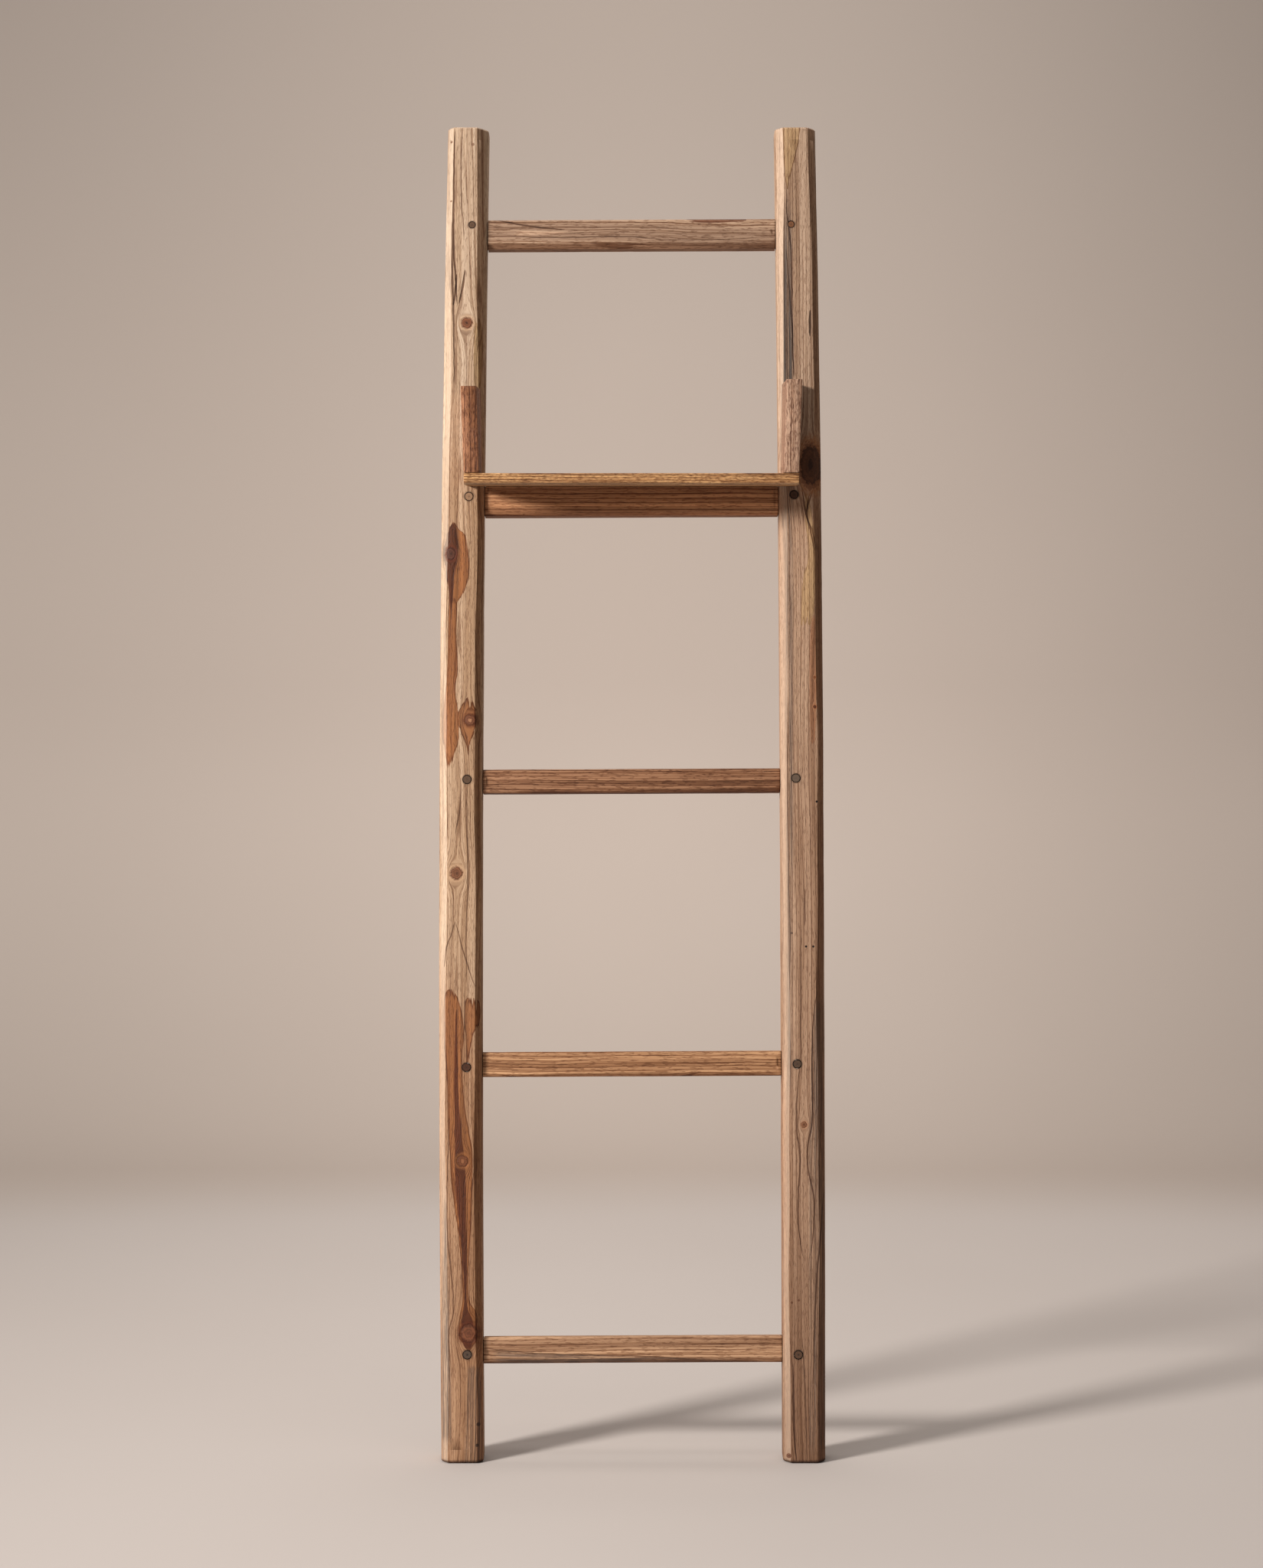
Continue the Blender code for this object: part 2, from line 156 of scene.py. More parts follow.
def join_or_cut(piece, other, operation):
    """Cut one solid out of a piece, or join it on, and drop it."""
    work_on(piece, "OBJECT")
    change = piece.modifiers.new("joint", "BOOLEAN")
    change.operation, change.solver, change.object = operation, "EXACT", other
    bpy.ops.object.modifier_apply(modifier=change.name)
    bpy.data.objects.remove(other, do_unlink=True)


def bore_for(piece, nodes, room):
    """Bore a piece for the pegs or screws that pass through it, with room around each."""
    for name in nodes:
        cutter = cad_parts[name].copy()
        cutter.data = cutter.data.copy()
        cutter.parent = None
        for key in list(cutter.keys()):
            del cutter[key]
        bpy.context.scene.collection.objects.link(cutter)
        cutter.hide_viewport = cutter.hide_render = False
        cutter.hide_set(False)
        work_on(cutter, "EDIT")
        bpy.ops.mesh.select_all(action="SELECT")
        bpy.ops.mesh.remove_doubles(threshold=0.00001)
        bpy.ops.transform.shrink_fatten(value=room)
        bpy.ops.object.mode_set(mode="OBJECT")
        join_or_cut(piece, cutter, "DIFFERENCE")


def smooth(piece, angle=28.0):
    work_on(piece, "OBJECT")
    bpy.ops.object.shade_smooth_by_angle(angle=radians(angle))


def hand_over(piece, node, slot):
    """Let a finished piece stand for its CAD node."""
    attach(piece, "root")
    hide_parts(node)


def bow_share(along):
    """0 where the rail bows out furthest, rising to 1 at its foot and at its top."""
    end = 0.0 if along < 1.0 else RAIL_LENGTH
    return ((along - 1.0) / (end - 1.0)) ** 2


def chop(along, phase):
    """Width of a chopped arris, which wanders along the rail."""
    return CHAMFER + 0.0012 * (
        sin(2 * pi * along / 0.61 + phase) + 0.4 * sin(2 * pi * along / 0.23 + 2.3 * phase))


def rail_corner(side, place):
    """Where a corner of the straight bar goes: in with the bow, and out to its hewn arris."""
    sign, along = SIGN[side], place.z
    share = bow_share(along)
    half = (RAIL_WIDTH - 0.002 * share) / 2
    pull = PULL_IN[side][0 if along < 1.0 else 1]
    across = sign * place.x - RAIL_APART / 2
    outward = across > 0
    width = chop(along, 0.7 + sign if outward else 3.1 - sign)
    if side == "left" and not outward:                  # hewn wider towards the top
        width += 0.0060 * max(0.0, (along - 1.50) / 0.30)
    if place.y < 0.0001:
        across, deep = half - width, 0.0
    elif place.y < RAIL_DEPTH / 2:
        across, deep = half, width
    else:
        across = half - (RAIL_WIDTH / 2 - abs(across))
        deep = place.y
    across = across if outward else -across
    return Vector((sign * (RAIL_APART / 2 - pull * share + across), deep, along))


def hewn(place, normal, seed, slow=0.00045, nicks=0.0005):
    """Sink the surface a little, unevenly, as the adze and years of handling leave it."""
    swell = noise.noise(Vector((place.x * 30, place.y * 30 + seed, place.z * 11)))
    nick = noise.noise(Vector((place.x * 70, place.y * 70, place.z * 55 + seed)))
    sunk = slow * (0.5 + 0.5 * swell) + nicks * max(0.0, nick - 0.25)
    return place - normal * sunk


def make_rail(side):
    sign = SIGN[side]
    centre = sign * RAIL_APART / 2
    rail = blank(
        side + "_rail_hewn", (centre - RAIL_WIDTH / 2, 0.0, RAIL_BELOW),
        (centre + RAIL_WIDTH / 2, RAIL_DEPTH, RAIL_LENGTH))
    work_on(rail, "EDIT")
    divide(120, lambda edge: runs(edge, 2))
    chamfer(CHAMFER, lambda edge: runs(edge, 2) and middle(edge).y < 0.001)
    chamfer(BACK_CHAMFER, lambda edge: runs(edge, 2) and middle(edge).y > RAIL_DEPTH - 0.001)
    reshape(lambda place, normal: rail_corner(side, place))
    cut_plane((0, 0, 0), -FLOOR_UP)
    chamfer(0.0025, lambda edge: sorted(
        abs(face.normal.dot(FLOOR_UP)) > 0.999 or face.normal.z > 0.999
        for face in edge.link_faces) == [False, True])
    ease(0.0008)
    divide(4, lambda edge: not runs(edge, 2) and edge.calc_length() > 0.006
           and 0.014 < middle(edge).z < RAIL_LENGTH - 0.004)
    reshape(lambda place, normal: hewn(place, normal, 3.0 * sign))
    return rail


def cut_mortises(rail, side):
    """Five sockets in the rail's inner side, each with a little room around its tenon."""
    for number, rung_at, height in RUNG_SIZES:
        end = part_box("rung_" + str(number))[0 if side == "left" else 1].x
        near, far = sorted((end + SIGN[side] * 0.001, end - SIGN[side] * 0.05))
        centre = rung_at + RUNG_TILT * end
        half = height / 2 - TENON_SHOULDER + 0.0005
        socket = blank(
            "socket", (near, TENON_FRONT - SNUG, centre - half), (far, TENON_BACK + SNUG, centre + half))
        join_or_cut(rail, socket, "DIFFERENCE")


class Value:
    """A number that varies over a surface; sums of values add the nodes that work them out."""

    def __init__(self, finish, socket):
        self.finish, self.socket = finish, socket

    def math(self, operation, *terms):
        return self.finish.node("Math", {"operation": operation}, dict(enumerate(terms)))

    def __add__(self, other):
        return self.math("ADD", self, other)

    def __sub__(self, other):
        return self.math("SUBTRACT", self, other)

    def __rsub__(self, other):
        return self.math("SUBTRACT", other, self)

    def __mul__(self, other):
        return self.math("MULTIPLY", self, other)

    def __truediv__(self, other):
        return self.math("DIVIDE", self, other)

    def __rtruediv__(self, other):
        return self.math("DIVIDE", other, self)

    __radd__, __rmul__ = __add__, __mul__

    def size(self):
        return self.math("ABSOLUTE", self)

    def root(self):
        return self.math("SQRT", self)

    def wave(self):
        return self.math("SINE", self)

    def lesser(self, other):
        return self.math("MINIMUM", self, other)

    def greater(self, other):
        return self.math("MAXIMUM", self, other)

    def rise(self, start, end):
        """0 at start, easing up to 1 at end."""
        return self.finish.node(
            "MapRange", {"interpolation_type": "SMOOTHSTEP"}, {0: self, 1: start, 2: end, 3: 0.0, 4: 1.0})


def tone(red, green, blue):
    """A colour as paint charts give it, 0 to 255, turned into the amount of light it sends back."""
    def light(share):
        return share / 12.92 if share <= 0.04045 else ((share + 0.055) / 1.055) ** 2.4
    return (light(red / 255), light(green / 255), light(blue / 255), 1.0)


class Finish:
    """One material, built node by node."""

    def __init__(self, name):
        self.material = bpy.data.materials.new(name)
        self.material.use_nodes = True
        self.tree = self.material.node_tree
        self.shader = self.tree.nodes["Principled BSDF"]

    def node(self, kind, settings, inputs, output=0):
        made = self.tree.nodes.new("ShaderNode" + kind)
        for name, setting in settings.items():
            setattr(made, name, setting)
        for key, given in inputs.items():
            if isinstance(given, Value):
                self.tree.links.new(given.socket, made.inputs[key])
            else:
                made.inputs[key].default_value = given
        return Value(self, made.outputs[output])

    def feed(self, name, value):
        if isinstance(value, Value):
            self.tree.links.new(value.socket, self.shader.inputs[name])
        else:
            self.shader.inputs[name].default_value = value

    def place(self, shift=(0, 0, 0), turn=(0, 0, 0)):
        """How far across, back and up a spot lies, once the piece is turned and shifted."""
        spot = self.node("TexCoord", {}, {}, "Object")
        spot = self.node("Mapping", {}, {"Vector": spot, "Location": shift, "Rotation": turn})
        return [self.node("SeparateXYZ", {}, {0: spot}, axis) for axis in range(3)]

    def relief(self, height):
        """Let a height in metres catch the light."""
        self.feed("Normal", self.node("Bump", {}, {"Strength": 1.0, "Distance": 1.0, "Height": height}))

    def blend(self, share, first, second, how="MIX"):
        return self.node(
            "Mix", {"data_type": "RGBA", "blend_type": how}, {0: share, 6: first, 7: second}, 2)

    def cloud(self, x, y, z, detail=2.0, roughness=0.5):
        """Smooth noise, 0 to 1, with one cycle for each unit of x, y and z."""
        place = self.node("CombineXYZ", {}, {0: x, 1: y, 2: z})
        return self.node("TexNoise", {}, {"Vector": place, "Scale": 1.0, "Detail": detail,
                                          "Roughness": roughness})


MM = 0.001                    # marks on the timber are set out in millimetres


class Timber(Finish):
    """Old teak. Its grain runs along the piece and parts around its knots, and marks are laid on it
    in the order that their methods are called. Marks are set out in millimetres: along the piece,
    and across it from its middle. A knot is (across, along, radius)."""

    def __init__(self, name, turn, shift, order, pith, pale, deep, middle=0.0, knots=(), seed=0.0,
                 wander=1.0, lines=1.0, years=0.0045, tilt=0.0):
        super().__init__(name)
        self.middle = middle
        self.normal = self.node("TexCoord", {}, {}, "Normal")
        parts = self.place(shift, turn)
        self.across, self.deep, self.along = (parts["xyz".index(letter)] for letter in order)
        across, far, along = self.across, self.deep, self.along
        drift = self.cloud(across * 9 + seed, far * 9, along * 1.7, 1.0) - 0.5
        ripple = self.cloud(across * 42, far * 42 + seed, along * 8, 1.0) - 0.5
        bent = across + drift * (0.014 * wander) + ripple * (0.0032 * wander)
        for knot in knots:
            side, ahead, radius = self.from_spot(*knot)
            ahead = ahead * 0.55
            spread = radius * 1.15
            near = side * side + ahead * ahead + far * far * 0.35
            bent = bent - side * (spread * spread) / near.greater(spread * spread)
        out = bent - pith[0]
        back = far - pith[1] - along * tilt
        ring = (out * out + back * back).root()
        self.broad = self.cloud(bent * 75 + seed, far * 60, along * 1.1, 2.0)
        self.streak = self.cloud(bent * 260, far * 220 + seed, along * 2.6, 3.0, 0.6)
        self.fibre = self.cloud(bent * 850 + seed, far * 850, along * 9, 2.0, 0.6)
        self.fleck = self.cloud(bent * 850, far * 850, along * 110 + seed, 1.0)
        year = (ring * (2 * pi / years) + self.streak * 2.5 + self.broad * 6.0).wave()
        self.year = year.rise(0.70, 0.99)
        self.hairs, self.pores = self.fibre.rise(0.46, 0.62), self.fleck.rise(0.54, 0.66)
        self.colour = self.blend(self.broad.rise(0.40, 0.60), pale, deep)
        self.darken(self.streak.rise(0.47, 0.64) * (0.70 * lines), (0.62, 0.53, 0.46))
        self.darken(self.year * self.streak.rise(0.30, 0.50) * (0.85 * lines), (0.48, 0.37, 0.30))
        self.darken(self.hairs * (0.65 * lines), (0.56, 0.47, 0.41))
        self.darken(self.pores * (0.60 * lines), (0.46, 0.36, 0.30))
        self.height = (
            self.fibre * -0.00022 + self.streak * -0.00030 - self.year * 0.00014 - self.pores * 0.00016)
        self.rough = self.fibre * 0.14 + 0.56

    def normal_part(self, axis):
        return self.node("SeparateXYZ", {}, {0: self.normal}, axis)

    def from_spot(self, across, along, radius):
        """How far a place is from a spot, across and along, and the spot's radius, all in metres."""
        return self.across - (self.middle + across * MM), self.along - along * MM, radius * MM

    def drawn(self, points):
        """A line drawn through listed (along, across) points: its across, and how far along it."""
        points = sorted((along * MM, self.middle + across * MM) for along, across in points)
        start, end = points[0][0], points[-1][0]
        low, high = min(p[1] for p in points) - 0.001, max(p[1] for p in points) + 0.001
        share = self.node("MapRange", {}, {0: self.along, 1: start, 2: end, 3: 0.0, 4: 1.0})
        made = self.tree.nodes.new("ShaderNodeFloatCurve")
        curve = made.mapping.curves[0]
        spots = [((along - start) / (end - start), (across - low) / (high - low))
                 for along, across in points]
        curve.points[0].location, curve.points[1].location = spots[0], spots[-1]
        for spot in spots[1:-1]:
            curve.points.new(*spot)
        made.mapping.update()
        self.tree.links.new(share.socket, made.inputs["Value"])
        return Value(self, made.outputs[0]) * (high - low) + low, share

    def darken(self, share, factor):
        """Lay a thin dark tint, leaving only a factor of red, green and blue."""
        self.colour = self.blend(share, self.colour, (*factor, 1.0), "MULTIPLY")

    def paint(self, share, colour):
        self.colour = self.blend(share, self.colour, colour)

    def gash(self, share, depth):
        self.height = self.height - share * depth

    def band(self, first, second, colour, share=1.0, ragged=3.0, soft=0.5, rim=0.0, grain=0.45):
        """Timber of another colour between two edges drawn through listed points, pointed where the edges
        meet.
        """
        one, reach = self.drawn(first)
        two, _ = self.drawn(second)
        ragged, soft = ragged * MM, soft * MM
        length = (max(point[0] for point in first) - min(point[0] for point in first)) * MM
        tear = (self.streak - 0.5) * (ragged * 3.0) + (self.fibre - 0.5) * (ragged * 1.6)
        tip = reach.lesser(1 - reach) * (length * 0.22) + (self.streak - 0.5) * 0.010 - 0.0003
        inside = (self.across - one).lesser(two - self.across).lesser(tip) + tear
        mask = inside.rise(-soft, soft) * reach.rise(0.0, 0.004) * (1 - reach.rise(0.996, 1.0))
        vein = self.broad.rise(0.40, 0.60) * 0.45 + self.streak.rise(0.42, 0.60) * 0.55
        tint = self.blend(vein, colour, tuple(part * (1 - grain) for part in colour[:3]) + (1.0,))
        worn = self.hairs * 0.45 + self.pores * 0.45
        tint = self.blend(worn, tint, (0.45, 0.36, 0.30, 1.0), "MULTIPLY")
        tint = self.blend(self.year * 0.6, tint, (0.50, 0.40, 0.34, 1.0), "MULTIPLY")
        self.paint(mask * share, tint)
        if rim:
            edge = (1 - (inside - 0.0006).size().rise(0.0002, 0.0013)) * mask
            self.darken(edge * rim, (0.40, 0.30, 0.25))

    def line(self, points, width=1.0, dark=0.95, depth=0.0, tint=(0.30, 0.22, 0.18)):
        """A dark line or an open check, drawn through listed points and fine at both ends."""
        centre, reach = self.drawn(points)
        shake = (self.cloud(self.across * 20, self.deep * 20, self.along * 45, 1.0) - 0.5) * 0.0018
        taper = (reach * (1 - reach) * 4).root()
        off = (self.across - centre + shake).size()
        mask = (1 - (off / (taper * (width * MM) + 0.00005)).rise(0.55, 1.25)) * taper.rise(0.05, 0.4)
        mask = mask * (1 - self.deep.rise(0.012, 0.020))
        self.darken(mask * dark, tint)
        if depth:
            self.gash(mask, depth * MM)

    def knot(self, at, heart, body, halo, halo_share=0.7, stretch=1.0):
        """A knot's own rings, with a paler or darker collar where the grain closes round it."""
        side, ahead, radius = self.from_spot(*at)
        ahead = ahead / stretch
        wobble = self.cloud(self.across * 230, self.deep * 40, self.along * 230, 2.0, 0.6) - 0.5
        off = (side * side + ahead * ahead).root() / radius + wobble * 0.75
        on_front = 1 - self.deep.rise(0.014, 0.030)
        self.paint((1 - off.rise(1.15, 1.75)) * halo_share * on_front, halo)
        rings = (off * 17.0).wave() * 0.5 + 0.5
        inner = self.blend(rings.rise(0.2, 0.9) * 0.55 + self.fibre.rise(0.46, 0.60) * 0.3, body,
                           tuple(p * 0.45 for p in body[:3]) + (1.0,))
        inner = self.blend((1 - off.rise(0.10, 0.45)) * 0.85, inner, heart)
        self.paint((1 - off.rise(0.86, 1.0)) * on_front, inner)
        edge = (1 - (off - 1.0).size().rise(0.05, 0.20)) * on_front
        self.darken(edge * 0.65, (0.42, 0.30, 0.25))
        self.gash(edge, 0.00025)

    def spot(self, across, along, radius, colour, share=0.9, depth=0.0):
        side, ahead, radius = self.from_spot(across, along, radius)
        off = (side * side + ahead * ahead).root()
        mask = (1 - off.rise(radius * 0.75, radius * 1.25)) * (1 - self.deep.rise(0.006, 0.012))
        self.paint(mask * share, colour)
        if depth:
            self.gash(mask, depth * MM)

    def weather(self, colour, amount, first, second, ragged=12.0):
        """Grey, open grain where rain has got into one stretch of the surface."""
        one, reach = self.drawn(first)
        two, _ = self.drawn(second)
        inside = (self.across - one).lesser(two - self.across) + (self.broad - 0.5) * (ragged * MM)
        ends = reach.rise(0.0, 0.06) * (1 - reach.rise(0.94, 1.0))
        mask = inside.rise(-0.002, 0.004) * ends
        opened = mask * self.fibre.rise(0.44, 0.58)
        self.paint(mask * self.streak.rise(0.42, 0.58) * amount, colour)
        self.darken(opened * amount, (0.40, 0.36, 0.34))
        self.gash(opened, 0.0003)

    def complete(self, end_axis):
        """Darken the end grain, which faces along an axis, and lead everything to the shader."""
        self.darken(self.normal_part(end_axis).size().rise(0.86, 0.95) * 0.75, (0.62, 0.52, 0.45))
        self.feed("Base Color", self.colour)
        self.feed("Roughness", self.rough)
        self.feed("Specular IOR Level", 0.28)
        self.relief(self.height)
        return self.material


def shade_arrises(wood, painted_highlight):
    """Painted light and shade: a rail's right arris, turned from the lamp, is darkened as painted shade,
    and its left one, facing the lamp, is paled as a painted highlight.
    """
    turned = wood.normal_part(0)
    # painted shade on the arris that faces right, away from the lamp
    wood.darken(turned.rise(0.35, 0.55) * (1 - wood.deep.rise(0.006, 0.012)), (0.80, 0.68, 0.58))
    # painted highlight on the arris that faces left, towards the lamp
    wood.paint((turned * -1).rise(0.35, 0.60) * (1 - wood.deep.rise(0.004, 0.012)) * 0.35, painted_highlight)


LADDER_TURN = (LEAN, 0.0, 0.0)
LADDER_SHIFT = (0.0, STAND_BACK * cos(LEAN), STAND_BACK * sin(LEAN))

left_knots = ((4.9, 1526, 7.8), (-14.5, 1208, 6), (12.5, 982, 7.5), (-4.9, 776, 8.5),
              (5.4, 394, 7.5), (14.7, 169, 11))
left = Timber(
    "left_rail_teak", LADDER_TURN, LADDER_SHIFT, "xyz", (-0.233, -0.010), tone(203, 171, 141),
    tone(184, 149, 117), -RAIL_APART / 2, left_knots, seed=2.0, lines=0.85, tilt=0.020)
HEART, HEART_RED, GOLD = tone(170, 110, 66), tone(94, 44, 23), tone(200, 162, 116)
GREY = tone(112, 100, 92)
left.darken(left.along.rise(1.28, 1.40), (1.10, 1.20, 1.32))
# Darker over the lower part of the left rail, the edge of the darkening slanting a little across it.
slanted_height = left.along + (left.across + 0.225) * 2.0 + left.streak * 0.1
left.darken(1 - slanted_height.rise(0.58, 0.70), (0.82, 0.70, 0.62))
left.band([(1432, 18.1), (1464, 14.8), (1507, 14.6), (1533, 17.6)],
          [(1432, 20.2), (1464, 26.2), (1507, 26), (1533, 19.7)], GOLD, 0.8,
          ragged=1, rim=0.3)
left.band([(913, -15.3), (946, -22.6), (972, -24.8), (1008, -23), (1052, -19.2), (1100, -18.4),
           (1138, -17.6), (1185, -15)],
          [(913, -14.2), (941, -7.2), (972, -2.2), (998, -4.4), (1024, -7.7), (1052, -4.7),
           (1100, -7.1), (1138, -6.3), (1185, -9.5)], HEART, ragged=1.4, rim=0.7)
left.band([(1136, -13.5), (1164, -18.8), (1185, -22), (1208, -24.2), (1232, -21.3), (1239, -18.2),
           (1252, -12)],
          [(1136, -12.4), (1147, -2.2), (1164, 6), (1185, 10), (1208, 8.9), (1233, 4.6), (1241, -3.7),
           (1252, -11.5)], HEART, ragged=1.6, rim=0.7)
left.band([(1118, -14.5), (1154, -17.7), (1185, -22), (1208, -24.2), (1232, -20.2), (1250, -12)],
          [(1118, -14), (1154, -11.5), (1185, -8.6), (1208, -5.6), (1232, -7.8), (1250, -11)],
          HEART_RED, 0.85, ragged=3)
left.band([(935, 9.4), (951, 6.1), (967, -0.2), (985, -5.4), (1001, 0.7), (1014, 9.9)],
          [(935, 10.3), (951, 13), (967, 18.3), (982, 20.3), (1001, 18.2), (1014, 10.9)], HEART, 0.95,
          ragged=1.8, rim=0.9)
left.band([(144, 14.4), (156, 7.3), (170, 1.2), (190, 2.1), (216, 6), (248, 4.8), (294, 0.5),
           (339, -5.8), (376, -10.1), (404, -11.3), (431, -13.4), (508, -15.9), (554, -20.3),
           (582, -21.5), (607, -20.6), (622, -11.5)],
          [(144, 15.4), (153, 20.4), (165, 25.4), (194, 24.3), (207, 17.1), (225, 14), (271, 14.8),
           (316, 17.6), (362, 18.4), (404, 18.1), (431, 14), (480, 6.6), (527, 4.3), (563, 6.1),
           (591, 2.9), (609, -2.3), (622, -10.5)], HEART, ragged=1.2, rim=0.8)
left.band([(520, 10.8), (557, 9.2), (578, 7.1), (595, 7), (610, 12)],
          [(520, 11.4), (562, 19.4), (583, 27.4), (599, 27.3), (610, 14.1)], HEART, 0.9, ragged=2.5,
          rim=1.0)
left.band([(148, 13.4), (175, 5.2), (210, 8), (248, 6.8), (310, 0.4), (376, -5), (431, -5.3),
           (512, -7.8), (595, -4.2)],
          [(148, 14.4), (175, 20.3), (210, 11.1), (248, 10.9), (310, 10.5), (376, 9.2), (431, 3.8),
           (512, -1.7), (595, -3.2)], HEART_RED, 0.9, ragged=2.2)
# painted highlight on the left rail's left arris, painted shade on its right one
shade_arrises(left, tone(214, 196, 176))
left.weather(GREY, 0.55, [(20, -21), (350, -21)], [(20, -5), (200, -9), (350, -16)])
left.weather(GREY, 0.35, [(-30, 9), (130, 14)], [(-30, 36), (130, 30)])
left.line([(1800, -12.8), (1700, -13.5), (1656, -14), (1600, -11), (1549, -8.2)], 1.5, 1.0, 0.8)
left.line([(1670, -16.2), (1600, -15), (1500, -12), (1440, -11.8)], 1.3, 0.9, 0.6)
left.line([(1800, -2.3), (1720, -4), (1660, -0.5), (1642, 0.2)], 1, 0.8)
left.line([(1600, 2.5), (1575, -1), (1552, -6.1)], 1.5, 1.0, 0.8)
left.line([(1594, -9), (1570, -10.5), (1550, -13.5)], 1.5, 1.0, 0.8)
left.line([(930, 9), (860, 9), (790, 10), (755, 10.5), (700, 8.5), (623, 12.3)], 1, 0.8)
left.line([(905, 0), (870, 0), (845, -4), (828, -7.2)], 1, 0.8)
left.line([(712, -6.5), (690, 0), (664, 7), (623, 21.5)], 1, 0.8)
left.line([(712, -6.5), (695, -11), (679, -16.6), (650, -21)], 1, 0.8)
left.line([(460, -11), (400, -14), (330, -15), (250, -9), (200, -6), (170, -11), (100, -10)], 1, 0.8)
left.spot(12, 1775, 2.2, tone(120, 84, 62), 0.8)
left.spot(-17.4, 1779, 1.6, tone(120, 84, 62))
left.spot(-17.4, 1696, 1.4, tone(120, 84, 62))
left.spot(27.9, 51, 2.5, tone(60, 42, 34))
left.spot(26.5, 24, 2.2, tone(60, 42, 34))
PALE_HALO, DARK_HEART = tone(196, 158, 124), tone(60, 33, 22)
left.knot(left_knots[0], DARK_HEART, tone(142, 88, 60), PALE_HALO, 0.6)
left.knot(left_knots[1], DARK_HEART, tone(92, 54, 40), HEART_RED, 0.8, 1.4)
left.knot(left_knots[2], tone(180, 130, 96), tone(122, 74, 50), HEART_RED, 0.6)
left.knot(left_knots[3], tone(90, 56, 38), tone(142, 92, 64), PALE_HALO, 0.8)
left.knot(left_knots[4], tone(150, 98, 64), tone(116, 68, 42), HEART, 0.4)
left.knot(left_knots[5], tone(96, 54, 36), tone(128, 76, 50), HEART_RED, 0.6)

right_knots = ((14, 1329, 15), (-0.3, 442, 4), (17.3, 1000, 2.2), (17.3, 1040, 1.6),
               (-22.4, 10, 2.8))
right = Timber(
    "right_rail_teak", LADDER_TURN, LADDER_SHIFT, "xyz", (0.300, 0.050), tone(192, 157, 130),
    tone(168, 132, 105), RAIL_APART / 2, right_knots, seed=7.0, lines=0.85, years=0.0040)
right.darken(1 - (right.along + right.streak * 0.2).rise(0.05, 0.62), (0.56, 0.48, 0.42))
right.darken(right.along.rise(1.25, 1.45), (1.04, 1.12, 1.18))
right.band([(1712, -16.7), (1763, -21.7), (1801, -22.5), (1860, -22.5)],
           [(1712, -15.6), (1725, -13.5), (1763, -3.9), (1801, 2.6), (1860, 4)], GOLD, 0.7,
           ragged=1.2, rim=1.0, grain=0.2)
right.weather(tone(128, 110, 98), 0.5, [(450, -24), (1000, -21), (1450, -25), (1720, -21)],
              [(450, -15), (1000, -11), (1450, -9), (1720, -14)], 6)
right.weather(tone(92, 82, 76), 0.9, [(1400, -25.3), (1443, -25.3), (1528, -23.8), (1602, -21.4),
               (1670, -17)],
              [(1400, -9.7), (1443, -9.7), (1528, -12.4), (1602, -15.1), (1670, -15.9)], 3)
right.band([(1110, -1.1), (1170, 1.3), (1214, 9.8), (1253, 5.9), (1290, 6)],
           [(1110, 11.3), (1159, 18.8), (1214, 19.1), (1253, 16.2), (1290, 8.1)], GOLD, 0.75,
           ragged=2, rim=0.5, grain=0.25)
right.band([(950, 14.5), (993, 10.6), (1065, 11), (1125, 14.4)],
           [(950, 16.5), (993, 19.8), (1065, 20.3), (1125, 16.5)], tone(180, 116, 74), 0.6, ragged=3)
right.weather(GREY, 0.45, [(0, 4), (300, 4), (620, 15)], [(0, 28), (620, 28)])
right.band([(150, -30), (300, -35), (530, -30)],
           [(150, -28), (350, -22), (530, -28)], tone(176, 122, 84), 0.5, ragged=3, soft=2)
# painted highlight on the right rail's left arris, painted shade on its right one
shade_arrises(right, tone(206, 182, 160))
right.line([(1449, -8.6), (1528, -10.3), (1613, -10.9), (1656, -13.8), (1688, -16.8), (1715, -16.7)],
           1.2, 1.0, 0.4)
right.line([(1211, 18), (1243, 12), (1269, 6), (1300, 1.5)], 1.3, 1.0)
right.line([(1260, 5.9), (1276, 10.1), (1300, 18.5)], 1.1, 0.9)
right.line([(1630, -18.5), (1580, -14), (1500, -9.5), (1449, -7.5)], 1, 0.85, 0.4)
right.line([(1544, 14.1), (1507, 13.9)], 1.6, 0.95, 1, (0.2, 0.15, 0.12))
right.line([(1295, 21), (1264, 8.4), (1240, 15), (1214, 19.4)], 1.2, 0.9)
right.line([(756, 2.4), (705, 2.2)], 1, 0.8)
right.line([(705, -3), (630, -3.5), (552, -3.8), (500, -2.8)], 1, 0.8)
right.line([(623, 20), (540, 11), (451, 10.9), (400, 4), (335, 12.3), (290, 10), (265, 2)], 1.2, 0.95)
right.line([(520, -5), (440, -10), (400, -6), (335, -9), (290, -6), (265, 2)], 1.2, 0.9)
right.line([(360, 26), (300, 21), (220, 14), (100, 10)], 1.2, 0.9)
right.line([(130, -16), (51, -15.5), (2, -11.8)], 1.5, 0.95, 0.5)
right.line([(160, -4), (80, 0), (0, 1)], 1, 0.7, 0.3)
for nail in ((19.2, 872), (4, 678), (13.6, 678)):
    right.spot(*nail, 1.4, tone(34, 24, 20), 1.0, 0.8)
right.spot(-15.3, 696, 1.6, tone(80, 60, 50), 0.8)
right.spot(-8.6, 212, 1.6, tone(96, 58, 38), 0.9)
right.spot(-17.7, 209, 1.6, tone(96, 58, 38), 0.9)
right.knot(right_knots[0], tone(50, 28, 18), tone(96, 58, 36), tone(150, 96, 56), 0.8, 1.9)
right.knot(right_knots[1], DARK_HEART, tone(150, 100, 70), tone(184, 136, 104), 0.7)
